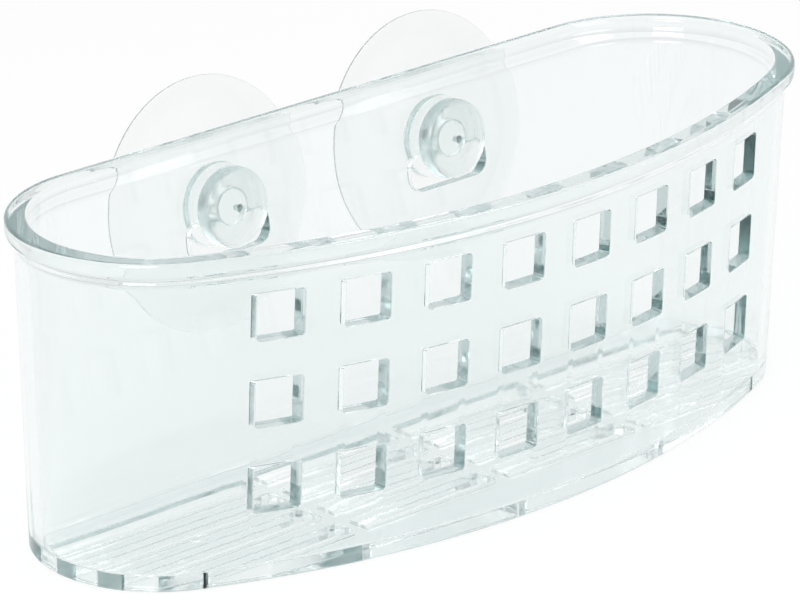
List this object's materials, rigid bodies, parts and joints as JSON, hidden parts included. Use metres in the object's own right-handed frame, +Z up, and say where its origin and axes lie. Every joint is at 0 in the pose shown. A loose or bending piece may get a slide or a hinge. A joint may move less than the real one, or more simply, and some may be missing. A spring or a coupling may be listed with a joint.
{
  "type": "sink caddy",
  "caption": "Clear D-plan sink basket with a flared rim, a bowed front of square holes, a slotted floor and suction cups in keyholes of its leaning back wall.",
  "frame": {"origin": "on the flat underside, below the middle of the rim", "axes": "+X along the length, +Y towards the leaning back wall and the suction cups, +Z up through the open top"},
  "size_m": [0.21, 0.0851, 0.0864],
  "materials": {
    "clear_plastic": "clear gloss",
    "soft_clear_vinyl": "clear satin"
  },
  "bodies": {
    "basket": {"basket": "clear_plastic"},
    "left_cup": {"left_suction_cup": "soft_clear_vinyl"},
    "right_cup": {"right_suction_cup": "soft_clear_vinyl"}
  },
  "joints": [
    {"name": "left_cup_slide", "type": "slide", "parent": "basket", "child": "left_cup", "axis": [0, -0.1463, -0.9892], "range_m": [0, 0.006]},
    {"name": "right_cup_slide", "type": "slide", "parent": "basket", "child": "right_cup", "axis": [0, -0.1463, -0.9892], "range_m": [0, 0.006]}
  ]
}
